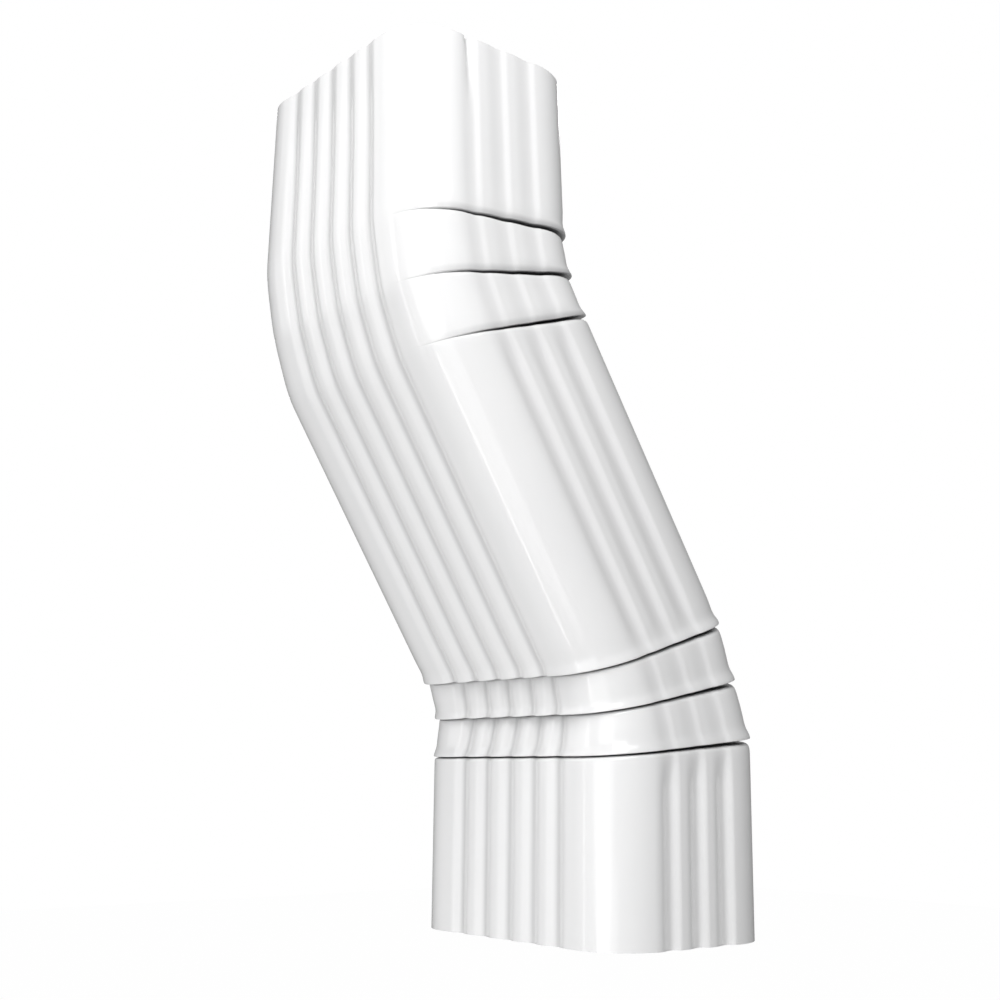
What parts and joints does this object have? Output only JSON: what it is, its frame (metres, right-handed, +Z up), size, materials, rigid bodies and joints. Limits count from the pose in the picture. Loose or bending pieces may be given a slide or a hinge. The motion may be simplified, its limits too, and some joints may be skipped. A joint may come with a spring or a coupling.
{
  "type": "downspout offset elbow",
  "caption": "Corrugated rectangular sheet-metal downspout offset elbow with pleated upper and lower bends, a slanting run between them and a glossy white finish.",
  "frame": {"origin": "centre of the lower mouth, in the plane of the lower rim", "axes": "+Z up along the lower straight end, -X toward the side the upper end is offset to, Y across the wide faces"},
  "size_m": [0.1225, 0.0876, 0.2271],
  "materials": {
    "white_paint": "gloss baked enamel on sheet aluminium"
  },
  "bodies": {
    "root": {"offset_elbow": "white_paint"}
  },
  "joints": []
}
